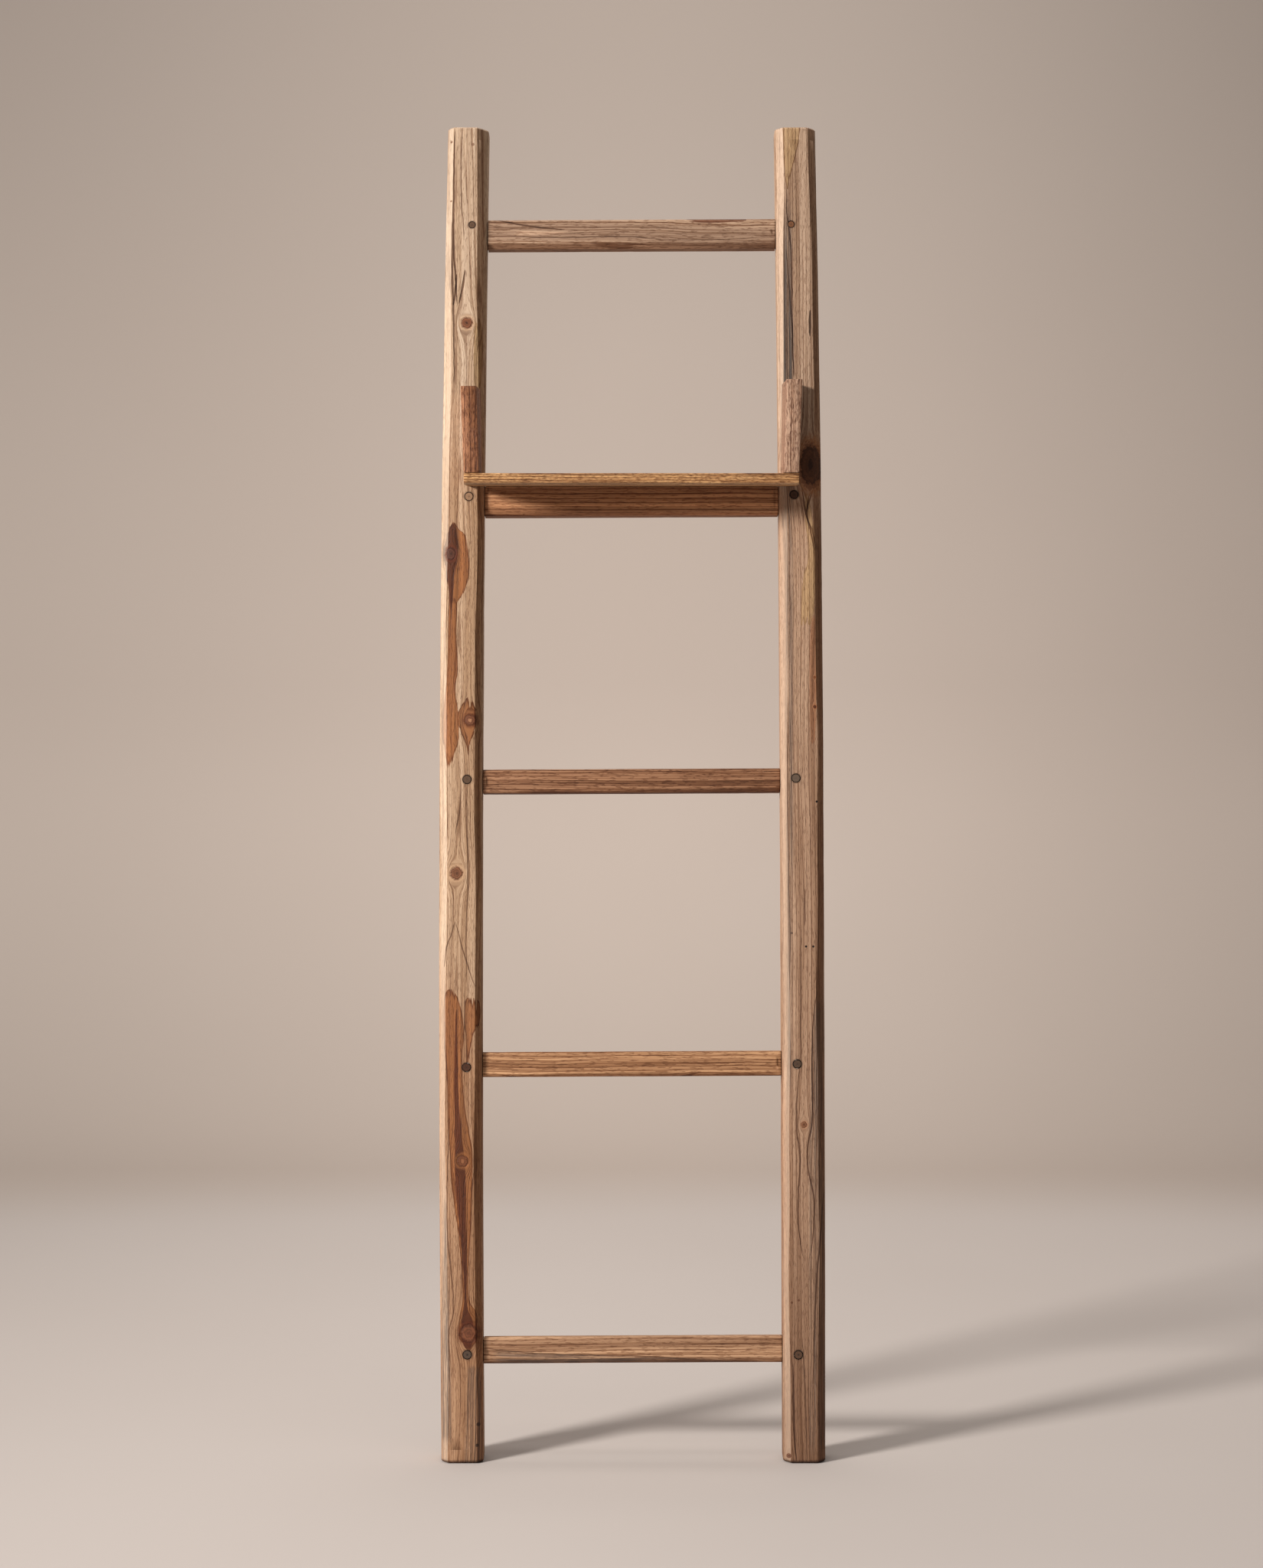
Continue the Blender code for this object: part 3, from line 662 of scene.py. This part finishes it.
right.knot(right_knots[2], DARK_HEART, tone(110, 62, 38), tone(176, 112, 70), 0.6)
right.knot(right_knots[3], tone(120, 70, 44), tone(140, 84, 52), tone(176, 112, 70), 0.6)
right.knot(right_knots[4], DARK_HEART, tone(120, 80, 60), tone(150, 112, 86), 0.5)

def peg_name(number, side):
    return "peg_{}_{}".format(number, side)


def peg_place(number, side):
    """A peg's radius, and how far across and along the ladder its middle lies."""
    low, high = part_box(peg_name(number, side))
    centre = (low + high) / 2
    return (high.x - low.x) / 2, centre.x, (centre.y + STAND_BACK) * sin(LEAN) + centre.z * cos(LEAN)


for side, wood in (("left", left), ("right", right)):
    for number, rung_at, height in RUNG_SIZES:
        radius, across, along = peg_place(number, side)
        wood.spot((across - wood.middle) / MM, along / MM, radius / MM + 1.0, tone(58, 40, 30), 0.8)
    rail = make_rail(side)
    work_on(rail, "OBJECT")
    cut_mortises(rail, side)
    lean(rail)
    bore_for(rail, [peg_name(number, side) for number, rung_at, height in RUNG_SIZES], SLIDING)
    bore_for(rail, [side + "_rail_screw_1", side + "_rail_screw_2"], SLIDING)
    smooth(rail)
    # Painted shadow: the bottom 4 to 8 mm of each rail is darkened, standing in for the contact shadow
    # where the foot meets the floor.
    ground = wood.along * cos(LEAN) - wood.deep * sin(LEAN)
    wood.darken(1 - (ground + wood.fibre * 0.004).rise(0.0040, 0.0080), (0.24, 0.19, 0.16))
    rail.data.materials.append(wood.complete(2))
    hand_over(rail, side + "_rail", side + "_rail")


# Ten pegs, two to a rung. Each is a whittled teak pin driven through rail and tenon and
# pared off flush, so that only its end grain shows, darker than the rail and ringed by the hole.

PEG_TONES = {                 # body, ring and heart of the end that shows
    (1, "left"): ((112, 84, 62), (66, 48, 38), (84, 62, 48)),
    (1, "right"): ((140, 92, 60), (74, 48, 34), (96, 62, 42)),
    (2, "left"): ((176, 138, 106), (92, 66, 50), (120, 90, 68)),
    (2, "right"): ((88, 58, 42), (40, 28, 22), (58, 40, 30)),
    (3, "left"): ((108, 82, 62), (60, 44, 34), (84, 62, 48)),
    (3, "right"): ((118, 98, 82), (70, 56, 46), (96, 80, 68)),
    (4, "left"): ((86, 52, 34), (50, 30, 22), (60, 38, 26)),
    (4, "right"): ((104, 80, 62), (34, 26, 22), (70, 52, 42)),
    (5, "left"): ((96, 78, 64), (52, 40, 34), (34, 26, 22)),
    (5, "right"): ((108, 78, 58), (38, 28, 22), (52, 36, 28)),
}


def peg_finish(name, radius, across, along, tones):
    """End grain seen square on, with its own growth rings and a black line at the hole."""
    body, ring, heart = (tone(*part) for part in tones)
    peg = Finish(name)
    x, y, z = peg.place(LADDER_SHIFT, LADDER_TURN)
    side, up = x - across, z - along
    off = (side * side + up * up).root() / radius
    grit = peg.cloud(side * 900 + across * 70, y * 60, up * 900, 3.0, 0.65)
    from_pith = side + radius * 0.7
    arcs = ((from_pith * from_pith + up * up).root() * 7200).wave() * 0.5 + 0.5
    colour = peg.blend(arcs * 0.45 + grit.rise(0.4, 0.7) * 0.35, body, ring)
    colour = peg.blend((1 - off.rise(0.12, 0.34)) * 0.8, colour, heart)
    colour = peg.blend(off.rise(0.74, 0.93), colour, ring)
    colour = peg.blend(y.rise(0.0012, 0.0030), colour, body)
    peg.feed("Base Color", colour)
    peg.feed("Roughness", grit * 0.2 + 0.6)
    peg.feed("Specular IOR Level", 0.25)
    peg.relief(grit * -0.00025 + arcs * -0.00008)
    return peg.material


for (number, side), tones in PEG_TONES.items():
    radius, across, along = peg_place(number, side)
    bpy.ops.object.select_all(action="DESELECT")
    bpy.ops.mesh.primitive_cylinder_add(
        vertices=32, radius=radius, depth=RAIL_DEPTH - 0.0006, rotation=(pi / 2, 0, 0),
        location=(across, RAIL_DEPTH / 2, along))
    peg = bpy.context.object
    bpy.ops.object.transform_apply(location=True, rotation=True, scale=True)
    peg.name = peg.data.name = peg_name(number, side) + "_pared"
    work_on(peg, "EDIT")
    pick("faces", lambda face: abs(face.normal.y) > 0.9)
    for share in (0.18, 0.30, 0.28):
        bpy.ops.mesh.inset(thickness=radius * share)
    chamfer(0.0005, lambda edge: edge.calc_face_angle() > radians(60), 2)

    def whittle(place, normal):
        """Not quite round, and pared slightly hollow towards one side."""
        out, up = place.x - across, place.z - along
        angle = atan2(up, out)
        share = 1 - 0.045 * (0.5 + 0.5 * sin(3 * angle + number)) - 0.02 * (0.5 + 0.5 * sin(7 * angle))
        pared = 0.00025 * (0.5 + out / (2 * radius)) if place.y < 0.002 else 0.0
        return Vector((across + out * share, place.y + pared, along + up * share))

    reshape(whittle)
    lean(peg)
    smooth(peg, 35)
    peg.data.materials.append(
        peg_finish(peg_name(number, side) + "_end_grain", radius, across, along, tones))
    hand_over(peg, peg_name(number, side), "peg")


# Five rungs of split and adzed teak, numbered from the top. The upper arris is left crisp and the
# lower front one is chopped off, wandering; each end is cut down to a tenon that its peg passes
# through. The second rung is planed level on top to seat the shelf.

RUNG_FRONT, RUNG_BACK = 0.011, 0.037
TENON_LENGTH = 0.038
RUNG_CHOP = {                 # rung: how wide the lower front arris is, at the left, middle and right
    1: (0.0070, 0.0085, 0.0080), 2: (0.0050, 0.0055, 0.0050), 3: (0.0030, 0.0050, 0.0085),
    4: (0.0025, 0.0055, 0.0030), 5: (0.0045, 0.0065, 0.0050)}


def make_rung(number, rung_at, height):
    low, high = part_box("rung_" + str(number))
    left_end, right_end = low.x + TENON_LENGTH, high.x - TENON_LENGTH
    bottom, top = rung_at - height / 2, rung_at + height / 2
    rung = blank("rung_{}_hewn".format(number), (left_end, RUNG_FRONT, bottom), (right_end, RUNG_BACK, top))
    work_on(rung, "EDIT")
    divide(99, lambda edge: runs(edge, 0))
    chamfer(0.004, lambda edge: runs(edge, 0))

    def chopped(place, normal):
        """The lower front arris is chopped to its own width, and the upper one only just taken off."""
        x, share = place.x, (place.x - left_end) / (right_end - left_end)
        start, mid, end = RUNG_CHOP[number]
        width = start + (end - start) * share + 4 * share * (1 - share) * (mid - (start + end) / 2)
        width += 0.0009 * noise.noise(Vector((x * 14, number, 0)))
        width += 0.0005 * noise.noise(Vector((x * 45, number, 3)))
        above = 0.0016 + 0.0006 * noise.noise(Vector((x * 11, number, 7)))
        y, z = place.y, place.z
        on_face = y < RUNG_FRONT + 0.0001
        if z < rung_at and y < 0.02:
            y, z = (RUNG_FRONT, bottom + width) if on_face else (RUNG_FRONT + width * 0.95, bottom)
        elif z > rung_at and y < 0.02:
            y, z = (RUNG_FRONT, top - above) if on_face else (RUNG_FRONT + above, top)
        return Vector((x, y, z + RUNG_TILT * x))

    reshape(chopped)
    ease(0.0006)
    divide(4, lambda edge: not runs(edge, 0) and edge.calc_length() > 0.006
           and left_end + 0.001 < middle(edge).x < right_end - 0.001)
    reshape(lambda place, normal: hewn(place.yzx, normal.yzx, 11.0 * number, 0.0004).zxy)
    work_on(rung, "OBJECT")
    tenon = blank("tenon", (low.x, TENON_FRONT, bottom + TENON_SHOULDER),
                  (high.x, TENON_BACK, top - TENON_SHOULDER))
    work_on(tenon, "EDIT")
    reshape(lambda place, normal: place + Vector((0, 0, RUNG_TILT * place.x)))
    ease(0.0010, 60, 1)
    work_on(tenon, "OBJECT")
    join_or_cut(rung, tenon, "UNION")
    lean(rung)
    if number == 2:
        work_on(rung, "EDIT")
        cut_plane((0, 0, high.z), (0, 0, 1))
        work_on(rung, "OBJECT")
        bore_for(rung, ["seat_screw_left", "seat_screw_right"], SNUG)
    bore_for(rung, [peg_name(number, side) for side in SIGN], SNUG)
    smooth(rung)
    return rung


def rung_wood(number, pale, deep, lines, wander=1.0, years=0.0040):
    rung_at = RUNG_SIZES[number - 1][1]
    return Timber(
        "rung_{}_teak".format(number), LADDER_TURN, (0.0, LADDER_SHIFT[1], LADDER_SHIFT[2] - rung_at),
        "zyx", (0.045, 0.06), tone(*pale), tone(*deep), seed=20.0 + 3 * number, lines=lines,
        wander=wander, years=years)


rung_woods = {
    1: rung_wood(1, (195, 162, 135), (163, 132, 109), lines=1.2, wander=1.9),
    2: rung_wood(2, (228, 171, 126), (178, 129, 92), lines=1.1),
    3: rung_wood(3, (173, 128, 96), (130, 91, 65), lines=1.4),
    4: rung_wood(4, (216, 168, 126), (180, 134, 97), lines=1.2, wander=1.7, years=0.0032),
    5: rung_wood(5, (212, 170, 134), (176, 136, 105), lines=1.1),
}
for wood in rung_woods.values():
    # Painted shade on each rung's downward-facing underside and the back of its lower arris.
    shaded = (wood.deep - 0.0120).rise(0.0, 0.0020) * (1 - wood.across.rise(-0.006, 0.002))
    wood.darken(shaded * 0.85, (0.55, 0.44, 0.37))
first = rung_woods[1]
first.band([(-166, -4), (-120, -3), (-79, 3.5)],
           [(-166, 6), (-120, 6), (-79, 4)], tone(218, 180, 150), 1.0, ragged=2, rim=0.5)
first.line([(-187, 19), (-130, 9), (-93, 5.5)], 1.3, 0.95)
first.line([(-175, 1), (-100, -6), (-20, -4), (60, -9), (180, -5)], 1, 0.6)
first.band([(70, 19), (100, 15), (135, 15), (157, 19)],
           [(70, 20.5), (157, 20.5)], tone(146, 98, 72), 0.9, ragged=2, rim=0.9)
fifth = rung_woods[5]
fifth.line([(-190.5, 1.5), (-100, -6), (0, -8), (100, -14), (178, -16)], 0.9, 0.85, 0.4)
fifth.weather(GREY, 0.5, [(-190, -20), (190, -22)], [(-190, 0), (0, -8), (190, -14)])

for number, rung_at, height in RUNG_SIZES:
    rung = make_rung(number, rung_at, height)
    rung.data.materials.append(rung_woods[number].complete(0))
    name = "rung_" + str(number)
    hand_over(rung, name, name)


# Shelf board: one sawn teak board, planed on its faces, with a notch sawn out of each back corner
# so that its tongue reaches between the rails. It is screwed down to the second rung, and its
# lower front edge has a strip of wane left on it.

board_low, board_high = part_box("shelf_board")
NOTCH_HALF = 0.1991           # half the width of the tongue between the rails


def make_board():
    board = blank("shelf_board_sawn", board_low, board_high)
    work_on(board, "EDIT")
    divide(89, lambda edge: runs(edge, 0))
    chamfer(0.002, lambda edge: runs(edge, 0) and middle(edge).y < board_low.y + 0.001)

    def waned(place, normal):
        """The lower front edge loses 2 to 5 mm, most just left of the middle, the upper one about 1."""
        x, y, z = place
        front = board_low.y
        on_face = y < front + 0.0001
        if y < front + 0.003 and z < board_low.z + 0.003:
            hump = max(0.0, 1 - ((x + 0.015) / 0.10) ** 2)
            width = 0.0022 + 0.0022 * hump + 0.0006 * noise.noise(Vector((x * 25, 5, 1)))
            corner = max(0.0, 1 - (x - board_low.x) / 0.008)
            width += 0.003 * corner
            y, z = (front, board_low.z + width) if on_face else (front + width, board_low.z)
        elif y < front + 0.003:
            width = 0.0011 + 0.0004 * noise.noise(Vector((x * 30, 2, 1)))
            y, z = (front, board_high.z - width) if on_face else (front + width, board_high.z)
        return Vector((x, y, z))

    reshape(waned)
    divide(9, lambda edge: not runs(edge, 0) and edge.calc_length() > 0.05
           and abs(middle(edge).x) < board_high.x - 0.001)
    work_on(board, "OBJECT")
    for sign in SIGN.values():
        inner, outer = sorted((sign * NOTCH_HALF, sign * 0.30))
        notch = blank("notch", (inner, -SNUG, 1.20), (outer, 0.09, 1.40))
        lean(notch)
        join_or_cut(board, notch, "DIFFERENCE")
    work_on(board, "EDIT")
    ease(0.0007, 50)
    reshape(lambda place, normal: hewn(place.yzx, normal.yzx, 51.0, 0.0003, 0.0002).zxy)
    work_on(board, "OBJECT")
    bore_for(board, ["seat_screw_left", "seat_screw_right"], SLIDING)
    for side in SIGN:
        bore_for(board, [side + "_board_screw_1", side + "_board_screw_2"], SLIDING)
    smooth(board)
    return board


board_wood = Timber(
    "shelf_board_teak", (0, 0, 0), (0, -board_low.y, -board_low.z), "yzx", (0.055, -0.060),
    tone(212, 165, 114), tone(170, 126, 84), seed=41.0, lines=1.25, wander=1.3, years=0.0032)
board = make_board()
speck = board_wood.cloud(board_wood.across * 420, board_wood.deep * 420, board_wood.along * 170, 1.0)
board_wood.darken(speck.rise(0.52, 0.62) * 0.65, (0.50, 0.40, 0.32))
board_wood.darken((1 - speck).rise(0.56, 0.64) * 0.5, (1.35, 1.32, 1.25))
wane = 1 - board_wood.deep.rise(0.0018, 0.0034)
board_wood.paint(wane * (1 - board_wood.across.rise(0.004, 0.010)) * 0.6, tone(128, 104, 82))
board.data.materials.append(board_wood.complete(0))
hand_over(board, "shelf_board", "shelf_board")


# Two cheeks, one on each end of the shelf board and flush with its front. Each is a short upright
# off-cut, leaning slightly outward, held by two screws up through the board and two through the
# back of its rail.

CHEEK_INNER, CHEEK_OUTER = 0.20197, 0.22197    # the faces' distances from the middle, at the foot


def make_cheek(side):
    low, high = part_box(side + "_cheek")
    sign = SIGN[side]
    near, far = sorted((sign * CHEEK_INNER, sign * CHEEK_OUTER))
    cheek = blank(side + "_cheek_sawn", (near, low.y, low.z), (far, high.y + 0.010, high.z))
    work_on(cheek, "EDIT")
    divide(24, lambda edge: runs(edge, 2))

    def splayed(place, normal):
        """It leans outward, and is a little thicker at the top than at the foot."""
        share = (place.z - low.z) / (high.z - low.z)
        out = sign * place.x
        grown = out + (0.0024 if out < CHEEK_OUTER - 0.010 else 0.0039) * share
        return Vector((sign * grown, place.y, place.z))

    reshape(splayed)
    cut_plane((0, -STAND_BACK - SNUG / cos(LEAN), 0), (0, cos(LEAN), -sin(LEAN)))
    ease(0.0012, 50)
    divide(14, lambda edge: runs(edge, 1) and edge.calc_length() > 0.02
           and low.z + 0.002 < middle(edge).z < high.z - 0.002)
    reshape(lambda place, normal: hewn(place, normal, 70.0 + sign, 0.0003, 0.0003))
    work_on(cheek, "OBJECT")
    for screw in ("_board_screw_1", "_rail_screw_1", "_board_screw_2", "_rail_screw_2"):
        bore_for(cheek, [side + screw], SNUG)
    smooth(cheek)
    return cheek


cheek_woods = {
    "left": Timber("left_cheek_teak", (0, 0, 0), (0.212, 0, -1.296), "yxz", (0.06, 0.05),
                   tone(185, 130, 95), tone(147, 98, 67), seed=61.0, lines=1.2, years=0.0030),
    "right": Timber("right_cheek_teak", (0, 0, 0), (-0.212, 0, -1.296), "yxz", (0.07, -0.05),
                    tone(191, 156, 132), tone(156, 118, 96), seed=71.0, lines=1.2, years=0.0034)}
for side, wood in cheek_woods.items():
    cheek = make_cheek(side)
    speck = wood.cloud(wood.across * 500, wood.deep * 500, wood.along * 160, 1.0)
    wood.darken(speck.rise(0.54, 0.62) * 0.6, (0.42, 0.30, 0.26))
    wood.darken((1 - speck).rise(0.56, 0.64) * 0.5, (1.30, 1.28, 1.26))
    cheek.data.materials.append(wood.complete(2))
    hand_over(cheek, side + "_cheek", side + "_cheek")


# Ten countersunk steel wood screws: two through the back of each rail, two up through the board
# into each cheek, and two down through the board into the second rung. Zinc, dulled with age.

steel = Finish("dulled_zinc")
x, y, z = steel.place()
tarnish = steel.cloud(x * 700, y * 700, z * 700, 3.0, 0.6)
steel.feed("Base Color", steel.blend(tarnish.rise(0.42, 0.68), tone(176, 172, 164), tone(112, 92, 72)))
steel.feed("Metallic", 1 - tarnish.rise(0.5, 0.75) * 0.6)
steel.feed("Roughness", tarnish * 0.35 + 0.25)
steel.relief(tarnish * 0.00006)
for name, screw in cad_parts.items():
    if "screw" in name:
        screw.data.materials.clear()
        screw.data.materials.append(steel.material)


# Where it stands: a pale seamless floor that turns up into a wall seen only from its front, a soft
# lamp low on the left, a large one overhead, and the camera square on at chest height.

def stage_finish():
    """Warm paper, a little paler and cooler on the floor than on the wall, with painted shade darkening it
    to the left, at the top, at the far right and along the bend."""
    paper = Finish("warm_grey_paper_painted_shade")
    x, y, z = paper.place()
    wall, ground = tone(199, 186, 177), tone(198, 189, 184)
    bend = y + x * x * 0.06
    colour = paper.blend(bend.rise(1.25, 1.80), ground, wall)
    # painted shade, a vignette laid into the paper: darker towards the top, to the left, at the far right
    # of the bend and along its foot
    for share in (z.rise(0.6, 3.0) * 0.68, (1 - x.rise(-1.6, 0.2)) * 0.55,
                  x.rise(0.4, 1.8) * bend.rise(1.2, 1.8) * 0.25,
                  bend.rise(1.25, 1.75) * (1 - z.rise(0.05, 0.7)) * 0.14):
        colour = paper.blend(share, colour, (0.45, 0.45, 0.45, 1.0), "MULTIPLY")
    mottle = paper.cloud(x * 1.3, y * 1.3, z * 1.3, 2.0)
    colour = paper.blend(mottle.rise(0.3, 0.7) * 0.04, colour, tone(150, 130, 116))
    paper.feed("Base Color", colour)
    behind = paper.node("NewGeometry", {}, {}, "Backfacing")
    paper.feed("Alpha", 1 - behind)
    paper.feed("Roughness", 0.9)
    paper.feed("Specular IOR Level", 0.1)
    return paper.material


SWEEP_START, SWEEP_RADIUS, SWEEP_STEPS, WALL_HEIGHT = 1.75, 0.9, 12, 5.0
floor = blank("studio_floor", (-9, -6, -0.002), (9, SWEEP_START, 0.0))
work_on(floor, "EDIT")
pick("faces", lambda face: face.normal.z < 0.5)
bpy.ops.mesh.delete(type="FACE")
pick("edges", lambda edge: middle(edge).y > SWEEP_START - 0.05)
turns = [radians(90) * step / SWEEP_STEPS for step in range(SWEEP_STEPS + 1)]
for before, turn in zip(turns, turns[1:]):
    bpy.ops.mesh.extrude_region_move(TRANSFORM_OT_translate={"value": (
        0, SWEEP_RADIUS * (sin(turn) - sin(before)), SWEEP_RADIUS * (cos(before) - cos(turn)))})
bpy.ops.mesh.extrude_region_move(TRANSFORM_OT_translate={"value": (0, 0, WALL_HEIGHT)})
work_on(floor, "OBJECT")
smooth(floor, 60)
floor.data.materials.append(stage_finish())


LAMP_TINT = (1.0, 0.965, 0.92)


def lamp(name, azimuth, elevation, distance, size, watts):
    """A soft box aimed at the ladder's middle, from an azimuth left of the camera's line."""
    azimuth, elevation = radians(azimuth), radians(elevation)
    way = Vector((-sin(azimuth) * cos(elevation), -cos(azimuth) * cos(elevation), sin(elevation)))
    light = bpy.data.lights.new(name, "AREA")
    light.shape, light.size, light.energy, light.color = "DISK", size, watts, LAMP_TINT
    stand = bpy.data.objects.new(name, light)
    stand.location = Vector((0.0, 0.0, 0.9)) + way * distance
    stand.rotation_euler = way.to_track_quat("Z", "Y").to_euler()
    bpy.context.scene.collection.objects.link(stand)


lamp("key_soft_box", 58, 19, 5.0, 0.95, 355)
lamp("top_soft_box", 180, 78, 3.4, 3.0, 75)

bpy.context.scene.view_settings.view_transform = "Standard"
world = bpy.data.worlds.new("studio")
world.use_nodes = True
room_light = world.node_tree.nodes["Background"].inputs
room_light["Color"].default_value = (1.0, 0.955, 0.915, 1.0)
room_light["Strength"].default_value = 0.16
bpy.context.scene.world = world

CAMERA_BACK, CAMERA_HEIGHT, CAMERA_TIP = 4.1135, 1.193, 4.346    # metres, metres, degrees downward
camera = bpy.data.objects.new("camera", bpy.data.cameras.new("camera"))
camera.data.lens, camera.data.sensor_width, camera.data.clip_end = 70.3125, 36.0, 60.0
camera.location = (0.0, -CAMERA_BACK, CAMERA_HEIGHT)
camera.rotation_euler = (radians(90 - CAMERA_TIP), 0.0, 0.0)
bpy.context.scene.collection.objects.link(camera)
bpy.context.scene.camera = camera
